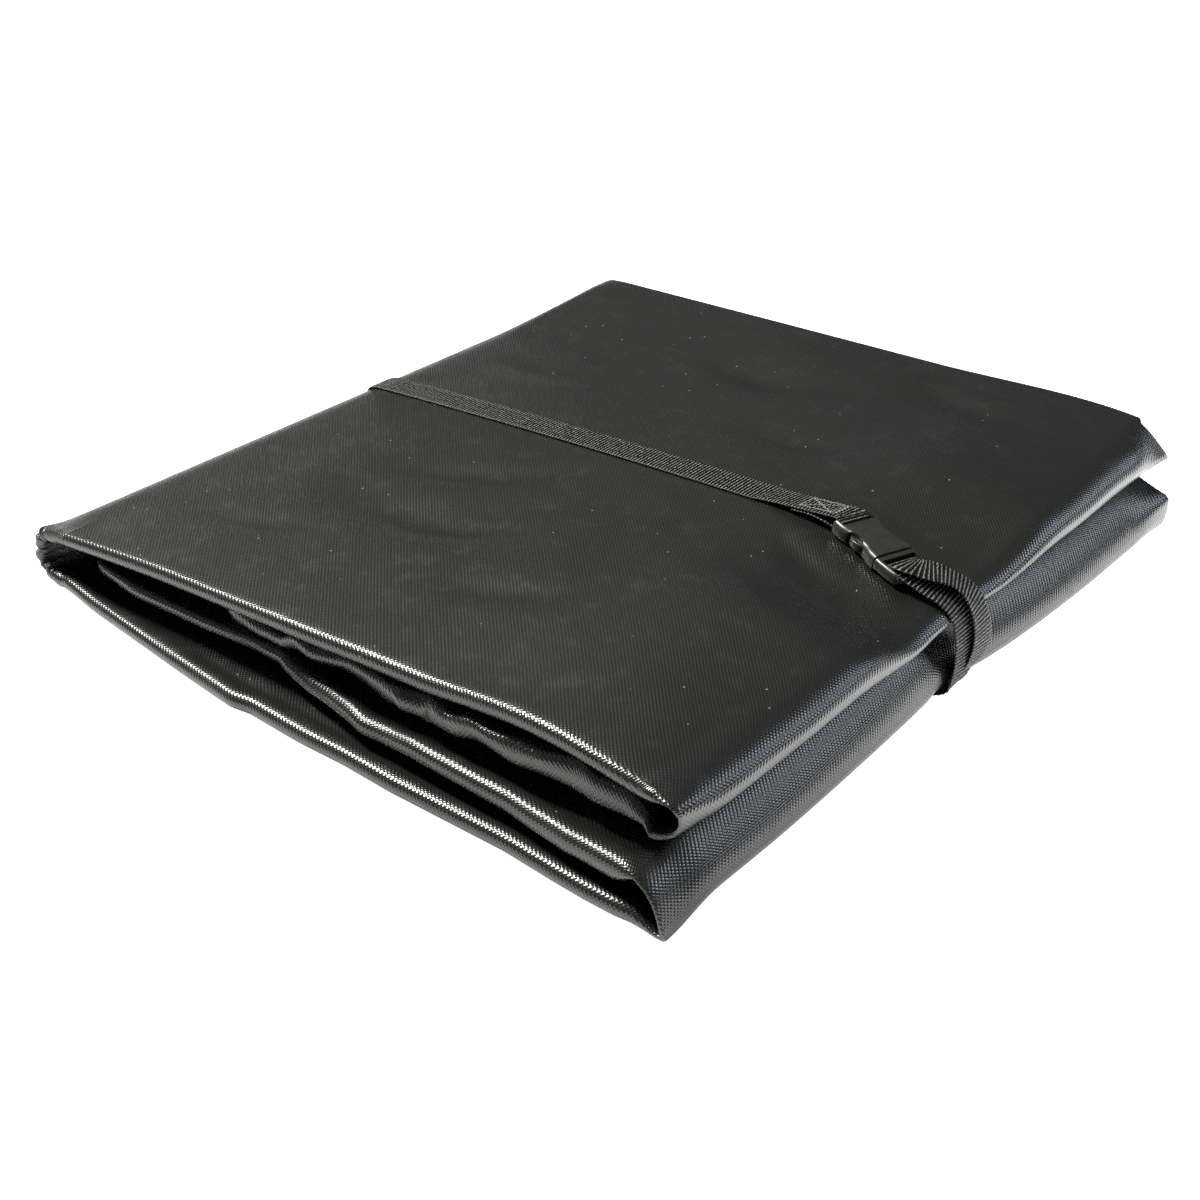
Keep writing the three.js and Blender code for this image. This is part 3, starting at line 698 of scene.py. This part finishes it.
def rounded_path(points, turns=3):
    """Cuts the corners of a broken line, again and again, and keeps its ends."""
    points = np.array(points, float)
    for _ in range(turns):
        a, b = points[:-1], points[1:]
        cut = np.stack([0.75 * a + 0.25 * b, 0.25 * a + 0.75 * b], axis=1).reshape(-1, points.shape[1])
        points = np.concatenate([points[:1], cut, points[-1:]])
    return points


def evenly(points, step):
    length = np.concatenate([[0], np.cumsum(np.linalg.norm(np.diff(points[:, :3], axis=0), axis=1))])
    count = max(2, int(round(length[-1] / step)) + 1)
    places = np.linspace(0, length[-1], count)
    return np.stack([np.interp(places, length, column) for column in points.T], axis=1), places


ACROSS_TAPE = np.array([-1, -0.97, -0.86, -0.72, -0.5, -0.25, 0, 0.25, 0.5, 0.72, 0.86, 0.97, 1])


def half_thickness(places):
    """Half the tape's thickness at each place along it and across it: its ribs and thin selvedges."""
    share = np.abs(ACROSS_TAPE)
    body = np.where(share < 0.84, 1.0, 0.35)
    rim = np.where(share > 0.99, 0.45, 1.0)
    shift = RIB_LEAN * np.abs(np.sin(math.pi * ACROSS_TAPE * WEB_WIDTH / 2 / RIB_LEAN_WIDTH))[None, :]
    rib = RIB_HEIGHT * np.cos(2 * math.pi * (places[:, None] + shift) / RIB_PITCH) * body
    return WEB_THICK / 2 * rim - RIB_HEIGHT + rib


def webbing(name, stations, tilt=lambda share: 0 * share, round_turns=3):
    """A ribbed tape along stations of (x, y, z, ax, ay, az), its middle line and the way across it."""
    path, places = evenly(rounded_path(stations, round_turns), STEP)
    centre, across = path[:, :3], path[:, 3:]
    tangent = np.gradient(centre, axis=0)
    tangent /= np.linalg.norm(tangent, axis=1)[:, None]
    across = across - (across * tangent).sum(1)[:, None] * tangent
    across /= np.linalg.norm(across, axis=1)[:, None]
    normal = np.cross(tangent, across)
    angle = tilt(places / places[-1])[:, None]
    tilted = across * np.cos(angle) + normal * np.sin(angle)
    normal = normal * np.cos(angle) - across * np.sin(angle)
    v = ACROSS_TAPE * WEB_WIDTH / 2
    middle = centre[:, None] + tilted[:, None] * v[None, :, None]
    half = normal[:, None] * half_thickness(places)[:, :, None]
    rings = np.concatenate([middle + half, (middle - half)[:, ::-1]], axis=1)
    obj = tube(name, rings[:, ::-1], True, True, places)
    obj.data.materials.append(WEBBING)
    return obj


def flat_place(x, y, z):
    return (x, y, z, 0, 1, 0)


def buckle_place(u, v, w):
    return (*in_buckle(u, v, w), *BUCKLE_V)


LIFT_OFF = np.array([LIFT_OFF_X, STRAP_Y_CREST, float(bed_height(LIFT_OFF_X)) + GAP + WEB_THICK / 2])
BAR_TOP = in_buckle(-20, 0, 3.9)
RAMP_ALONG = (BAR_TOP - LIFT_OFF) / np.linalg.norm(BAR_TOP - LIFT_OFF)
RAMP_SIDE = BUCKLE_V - RAMP_ALONG * (BUCKLE_V @ RAMP_ALONG)
RAMP_SIDE /= np.linalg.norm(RAMP_SIDE)
RAMP_NORMAL = np.cross(RAMP_ALONG, RAMP_SIDE)


def on_ramp(share, drop):
    return (*(lerp(BAR_TOP, LIFT_OFF, share) - RAMP_NORMAL * drop), *BUCKLE_V)


def make_over_run():
    runs = []
    for x in np.linspace(PANEL_START, LIFT_OFF_X, 24):
        y = lerp(STRAP_Y_SPINE, STRAP_Y_CREST, (x - SPINE_X) / (LIFT_OFF_X - SPINE_X))
        runs.append(flat_place(x, y, float(bed_height(x)) + GAP + WEB_THICK / 2))
    ramp = [on_ramp(share, 0) for share in (0.86, 0.13, 0.05)]
    at_bar = [buckle_place(-19, 0, 3.9), buckle_place(-17.6, 0, 3.9)]
    obj = webbing("over_run_webbing", runs + ramp + at_bar, round_turns=2)
    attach(obj, "upper_half")
    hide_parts("strap_over_run")


def make_lap():
    stations = [buckle_place(*p) for p in (
        (-16.9, 0, 3.9), (-14.6, 0, 3.3), (-13.4, 0, 1.6), (-13.4, 0, -0.8), (-14.6, 0, -2.2),
        (-17, 0, -2.7), (-20, 0, -1.9))]
    stations += [on_ramp(0.19, 2 * WEB_THICK), on_ramp(0.28, WEB_THICK + 2 * GAP),
                 on_ramp(0.34, WEB_THICK + GAP), on_ramp(0.54, WEB_THICK + GAP)]
    obj = webbing("sewn_lap_webbing", stations)
    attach(obj, "upper_half")
    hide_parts("strap_sewn_lap")


def make_spine_wrap():
    shares = np.linspace(1, 0, 41)
    points = np.array([spine_place(share, WRAP_RADIUS + GAP + WEB_THICK / 2) for share in shares])
    obj = webbing("spine_wrap_webbing", [flat_place(x, STRAP_Y_SPINE, z) for x, z in points], round_turns=1)
    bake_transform(obj)
    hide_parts("strap_spine_wrap")


def make_under_run():
    front = FOLD_X - 4
    ends = [(PANEL_START, STRAP_Y_SPINE), (front, float(under_strap_y(front)))]
    obj = webbing("under_run_webbing", [flat_place(x, y, UNDER_Z) for x, y in ends])
    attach(obj, "lower_half")
    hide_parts("strap_under_run")


def slacken(obj):
    """Gives the strap's free run a mesh of its own."""
    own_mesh(obj)


def make_front_run():
    stations = [buckle_place(*p) for p in (
        (25.8, 0, 2.45), (24.9, 0, 1.9), (24.6, 0, 0.9), (24.7, 0, -2.2), (25.9, 0, -3.4), (29.4, 0, -3.4),
        (31, 0, -2.3), (31.7, 0, 0), (33.3, 0, 1.75), (37.5, 0, 1.75))]
    stations += [flat_place(*p) for p in (
        (204, 5.5, 55.5), (214, 7.5, 51.5), (220, 8.5, 43), (222.6, 8.5, 32), (223.6, 8, 18),
        (222.5, 6, 5), (216, 3, 1.0), (204, 0, 1.0), (196.6, -1, 1.2))]
    obj = webbing("front_run_webbing", stations, round_turns=2)
    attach(obj, "buckle_plug")
    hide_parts("strap_front_run")
    slacken(obj)


def make_tail():
    stations = [buckle_place(*p) for p in ((26.3, 0, 2.95), (28.4, 0, 3.3), (32, 1, 4.0), (37, 4, 4.6))]
    stations += [flat_place(*p) for p in (
        (203, 15, 59.8), (213.5, 19.5, 54.8), (221, 21.5, 45), (225.4, 21.5, 32), (225.6, 20.5, 20),
        (222.5, 18, 9.5), (216.5, 15, 4))]
    lift = eased((0, 0), (0.15, -0.1), (0.35, -0.32), (0.5, -0.2), (0.7, -0.06), (1, 0.05))
    obj = webbing("tail_webbing", stations, tilt=lift, round_turns=2)
    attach(obj, "strap_tail")
    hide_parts("strap_tail")
    slacken(obj)


make_over_run()
make_lap()
make_spine_wrap()
make_under_run()
make_front_run()
make_tail()


# ---- Thread ----

def thread_run(points, radius=0.34, sides=8):
    """A thin round tube along points, mm."""
    points = np.array(points, float)
    tangent = np.gradient(points, axis=0)
    tangent /= np.linalg.norm(tangent, axis=1)[:, None]
    side = np.cross(tangent, RAMP_NORMAL)
    side /= np.linalg.norm(side, axis=1)[:, None]
    up = np.cross(side, tangent)
    turn = np.linspace(0, 2 * math.pi, sides, endpoint=False)
    return (points[:, None] + radius * (side[:, None] * np.cos(turn)[None, :, None]
                                        + up[:, None] * np.sin(turn)[None, :, None]))


STITCH_LENGTH = 2.6
STITCH_WOBBLE = 0.25
BOX_HALF_LONG, BOX_HALF_WIDE = 10.5, 6.6
TACK_WIDTH = 2.4


def stitch_line(start, end, wobble):
    """Separate stitches from start to end in the plane of the lap, each dipping at its ends."""
    start, end = np.array(start, float), np.array(end, float)
    length = np.linalg.norm(end - start)
    count = max(1, int(round(length / STITCH_LENGTH)))
    runs = []
    for k in range(count):
        shares = (k + np.linspace(0.04, 0.96, 7)) / count
        rise = 0.42 * np.sin(np.linspace(0, math.pi, 7)) - 0.22
        side = np.array([-(end - start)[1], (end - start)[0]]) / length
        path = lerp(start, end, shares[:, None]) + side * wobble * math.sin(2.4 * k)
        runs.append((path, rise))
    return runs


def box_lines():
    """The seams of the lap: a box, the cross in it, and a zigzag bar tack on the buckle's side."""
    long, wide = BOX_HALF_LONG, BOX_HALF_WIDE
    corners = [(-long, -wide), (long, -wide), (long, wide), (-long, wide)]
    lines = [(corners[i], corners[(i + 1) % 4]) for i in range(4)]
    lines += [(corners[0], corners[2]), (corners[1], corners[3])]
    tack = np.linspace(-wide - 0.6, wide + 0.6, 12)
    return lines + [((long + 1 + (i % 2) * TACK_WIDTH, a), (long + 1 + ((i + 1) % 2) * TACK_WIDTH, b))
                    for i, (a, b) in enumerate(zip(tack[:-1], tack[1:]))]


def make_stitching():
    middle = lerp(BAR_TOP, LIFT_OFF, 0.3)
    pieces = []
    for start, end in box_lines():
        for path, rise in stitch_line(start, end, STITCH_WOBBLE):
            high = WEB_THICK / 2 + GAP / 2 + rise
            points = (middle + path[:, :1] * RAMP_ALONG + path[:, 1:] * RAMP_SIDE
                      + high[:, None] * RAMP_NORMAL)
            pieces.append(tube("stitch", thread_run(points), True, True))
    bpy.ops.object.select_all(action="DESELECT")
    for piece in pieces:
        piece.select_set(True)
    bpy.context.view_layer.objects.active = pieces[0]
    bpy.ops.object.join()
    obj = bpy.context.view_layer.objects.active
    obj.name = "lap_stitching"
    obj.data.materials.append(THREAD)
    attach(obj, "upper_half")
    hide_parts("strap_stitching")


make_stitching()


# ---- The buckle ----

SOCKET_HALF = [(-18.5, 9.5), (-18.3, 12.3), (-16, 13), (-9.5, 12.9), (-5, 11.6), (2, 11.3), (8, 11.6),
               (12, 13), (15, 13.6), (24, 13.6)]
PLUG_HALF = [(15, 13.3), (24, 13.3), (30, 13), (35.6, 12.3), (36.6, 10), (36.6, 6)]
PRONG_OUTLINE = [(18.2, 6.6), (18.2, 9.2), (8, 9.2), (6.8, 10.4), (5, 12.1), (1.5, 12.8), (-2.5, 12.2),
                 (-5.2, 10.2), (-5.6, 8.2), (-5.2, 6.6), (4, 7)]
SOCKET_THICK = 9.5
MOUTH_U = 18.5
PLUG_START_U = 18.9
SLOT_HALF = 10.6


def closed_round(points, turns=3, keep=0.75):
    """Cuts the corners of a closed outline, again and again."""
    points = np.array(points, float)
    for _ in range(turns):
        after = np.roll(points, -1, axis=0)
        pairs = [keep * points + (1 - keep) * after, (1 - keep) * points + keep * after]
        points = np.stack(pairs, axis=1).reshape(-1, 2)
    return points


def both_sides(half):
    return half + [(u, -v) for u, v in reversed(half)]


def moulded(name, outline, low, high, radius, turns=3):
    """A closed plate in the buckle's frame with fully rounded upper and lower edges."""
    outline = closed_round(outline, turns)
    step = np.roll(outline, -1, axis=0) - np.roll(outline, 1, axis=0)
    inward = np.stack([-step[:, 1], step[:, 0]], axis=1) / np.linalg.norm(step, axis=1)[:, None]
    area = (outline[:, 0] * np.roll(outline[:, 1], -1) - np.roll(outline[:, 0], -1) * outline[:, 1]).sum()
    inward *= math.copysign(1, area)
    turn = np.linspace(0, math.pi / 2, 6)
    layers = [(radius * (1 - math.sin(t)), low + radius * (1 - math.cos(t))) for t in turn]
    layers += [(radius * (1 - math.sin(t)), high - radius * (1 - math.cos(t))) for t in turn[::-1]]
    rings = []
    for inset, w in layers:
        flat = outline + inward * inset
        rings.append(in_buckle(flat[:, :1], flat[:, 1:], w))
    rings = np.array(rings)
    return tube(name, rings if area > 0 else rings[:, ::-1], True, True)


def block(low, high):
    """A plain box in the buckle's frame, for cutting."""
    corners = [(low[0], low[1]), (high[0], low[1]), (high[0], high[1]), (low[0], high[1])]
    rings = np.array([[in_buckle(u, v, w) for u, v in corners] for w in (low[2], high[2])])
    return tube("block", rings, True, True)


def scoop(at_u, at_v, long, wide, low, high):
    """An upright oval cylinder in the buckle's frame, for cutting."""
    turn = np.linspace(0, 2 * math.pi, 40, endpoint=False)
    rings = np.array([[in_buckle(at_u + long * math.cos(t), at_v + wide * math.sin(t), w) for t in turn]
                      for w in (low, high)])
    return tube("scoop", rings, True, True)


def shaped(obj, others, operation="DIFFERENCE"):
    """Cuts the others out of the object, or joins them to it, and drops them."""
    for other in others:
        step = obj.modifiers.new("shape", "BOOLEAN")
        step.operation = operation
        step.solver = "MANIFOLD"
        step.object = other
    mesh = bpy.data.meshes.new_from_object(obj.evaluated_get(bpy.context.evaluated_depsgraph_get()))
    obj.modifiers.clear()
    obj.data = mesh
    for other in others:
        bpy.data.objects.remove(other)
    return obj


EDGE_BEVEL = 0.3
SHARP_ANGLE = math.radians(35)


def plastic(obj, body, node):
    obj.data.materials.clear()
    obj.data.materials.append(PLASTIC)
    obj.data.polygons.foreach_set("use_smooth", [True] * len(obj.data.polygons))
    obj.data.set_sharp_from_angle(angle=SHARP_ANGLE)
    bevel = obj.modifiers.new("edges", "BEVEL")
    bevel.width = EDGE_BEVEL * MM
    bevel.segments = 2
    bevel.limit_method = "ANGLE"
    bevel.angle_limit = SHARP_ANGLE
    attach(obj, body)
    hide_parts(node)


# Past the buckle's own size, so that a cut goes right through it
OUT_V = 20
OUT_W = 9


def slot_cut(u_from, u_to, half_v, w_from=-OUT_W, w_to=OUT_W):
    return block((u_from, -half_v, w_from), (u_to, half_v, w_to))


def make_socket():
    """The shell: an open mouth, the webbing's slot with its bar, side windows, and finger scoops."""
    half = SOCKET_THICK / 2
    body = moulded("socket_shell", both_sides(SOCKET_HALF), -half, half, 3.0)
    cuts = [slot_cut(MOUTH_U, 30, OUT_V), slot_cut(-9, 20, 9.8, -2.9, 2.9),
            slot_cut(-15.4, -10.8, SLOT_HALF),
            slot_cut(-25, -15.3, SLOT_HALF, 2.4), slot_cut(-25, -15.3, SLOT_HALF, -OUT_W, -1.2),
            slot_cut(-5.8, 7.6, OUT_V, -2.7, 2.7)]
    cuts += [scoop(0.3, v, 7.6, 5.6, -OUT_W, OUT_W) for v in (-14.4, 14.4)]
    plastic(shaped(body, cuts), "upper_half", "buckle_socket")


def make_plug():
    """The frame round the ladder's two slots, thinned to its bars, with the guide in the middle."""
    body = moulded("plug_body", both_sides(PLUG_HALF), -3.7, 3.7, 2.6)
    ladder = 10.7
    cuts = [slot_cut(0, PLUG_START_U, OUT_V), slot_cut(22.4, 26.5, ladder), slot_cut(29, 33.7, ladder),
            slot_cut(22.4, 40, ladder, 0.6), slot_cut(22.4, 40, ladder, -OUT_W, -2.2)]
    shaped(body, cuts)
    shaped(body, [slot_cut(-4, 20, 1.8, -2.2, 2.2)], "UNION")
    plastic(body, "buckle_plug", "buckle_plug")


def make_prong(side, sign):
    outline = [(u, sign * v) for u, v in PRONG_OUTLINE]
    plastic(moulded("prong_arm_" + side, outline, -2.4, 2.4, 0.7, 2), "prong_" + side, "prong_" + side)


make_socket()
make_plug()
make_prong("near", -1)
make_prong("far", 1)


# ---- Camera, floor and light ----

VIEW_AZIMUTH = 39.86
VIEW_ELEVATION = 31.72
VIEW_DISTANCE = 1007.1
VIEW_TARGET = (22.95, -48.95, 0)
VIEW_ROLL = 0.93
LENS = 53.22


def make_camera():
    a, e = math.radians(VIEW_AZIMUTH), math.radians(VIEW_ELEVATION)
    back = Vector((math.sin(a) * math.cos(e), -math.cos(a) * math.cos(e), math.sin(e)))
    data = bpy.data.cameras.new("camera")
    data.lens = LENS
    data.sensor_width = 36
    data.clip_start = 0.01
    camera = link("camera", data)
    camera.location = (Vector(VIEW_TARGET) + back * VIEW_DISTANCE) * MM
    turn = (-back).to_track_quat("-Z", "Y").to_matrix()
    camera.rotation_mode = "QUATERNION"
    camera.rotation_quaternion = (turn @ Matrix.Rotation(math.radians(VIEW_ROLL), 3, "Z")).to_quaternion()
    bpy.context.scene.camera = camera


FLOOR_LIT_FROM_TO = (0.0, 0.5)
FLOOR_GLOW = (0.25, 3.4)


def make_floor():
    """A white floor to the camera, whose glow in reflections grows from the front to the back."""
    size = 12.0
    mesh = bpy.data.meshes.new("floor")
    corners = [(-size, -size, 0), (size, -size, 0), (size, size, 0), (-size, size, 0)]
    mesh.from_pydata(corners, [], [(0, 1, 2, 3)])
    floor = link("floor", mesh)
    n = Nodes("floor", Base_Color=(0.85, 0.85, 0.85, 1), Roughness=0.9, Emission_Color=(1, 1, 1, 1))
    place = n.add("SeparateXYZ", {0: n.add("TexCoord").outputs["Object"]}).outputs
    toward_back = n.math("ADD", place[0], n.math("MULTIPLY", place[1], 0.35))
    lit = n.ramp(toward_back, *FLOOR_LIT_FROM_TO, *FLOOR_GLOW)
    seen = n.add("LightPath").outputs["Is Camera Ray"]
    n.use(Emission_Strength=n.math("MAXIMUM", lit, n.math("MULTIPLY", seen, 1.0)))
    floor.data.materials.append(n.material)


def make_light(name, toward, distance, width, height, watts, colour):
    data = bpy.data.lights.new(name, "AREA")
    data.shape = "RECTANGLE"
    data.size, data.size_y = width, height
    data.energy = watts
    data.color = colour
    light = link(name, data)
    direction = Vector(toward).normalized()
    light.location = direction * distance
    light.rotation_mode = "QUATERNION"
    light.rotation_quaternion = direction.to_track_quat("Z", "Y")


ROOM_DARK, ROOM_LIGHT = (0.03, 0.032, 0.036, 1), (0.39, 0.4, 0.375, 1)
ROOM_LIT_HEIGHTS = (0.18, 0.62)
ROOM_LIT_TO_LEFT = (-0.25, -0.8)


def make_world():
    """Plain white behind the object; the glossy cloth mirrors a dim room, lighter to the left."""
    world = bpy.data.worlds.new("studio")
    bpy.context.scene.world = world
    world.use_nodes = True
    tree = world.node_tree

    def add(kind, **inputs):
        node = tree.nodes.new("ShaderNode" + kind)
        for socket, value in inputs.items():
            target = node.inputs[int(socket[1:])]
            if isinstance(value, bpy.types.NodeSocket):
                tree.links.new(value, target)
            else:
                target.default_value = value
        return node

    toward = add("SeparateXYZ", _0=add("TexCoord").outputs["Generated"])
    high = add("MapRange", _0=toward.outputs[2], _1=ROOM_LIT_HEIGHTS[0], _2=ROOM_LIT_HEIGHTS[1])
    left = add("MapRange", _0=toward.outputs[0], _1=ROOM_LIT_TO_LEFT[0], _2=ROOM_LIT_TO_LEFT[1], _3=0.22)
    share = add("Math", _0=high.outputs[0], _1=left.outputs[0])
    share.operation = "MULTIPLY"
    room = tree.nodes.new("ShaderNodeMix")
    room.data_type = "RGBA"
    room.inputs[6].default_value = ROOM_DARK
    room.inputs[7].default_value = ROOM_LIGHT
    tree.links.new(share.outputs[0], room.inputs[0])
    seen = tree.nodes.new("ShaderNodeMix")
    seen.data_type = "RGBA"
    seen.inputs[7].default_value = (1, 1, 1, 1)
    tree.links.new(room.outputs[2], seen.inputs[6])
    tree.links.new(tree.nodes.new("ShaderNodeLightPath").outputs["Is Camera Ray"], seen.inputs[0])
    tree.links.new(seen.outputs[2], tree.nodes["Background"].inputs["Color"])
    bpy.context.scene.view_settings.view_transform = "Standard"


make_camera()
make_floor()
make_light("key", (-0.55, -0.13, 0.83), 2.4, 0.45, 0.45, 130, (1, 0.99, 0.97))
make_light("back", (0.57, 0.65, 0.5), 2.6, 1.0, 0.6, 17, (0.8, 0.88, 1.0))
make_world()
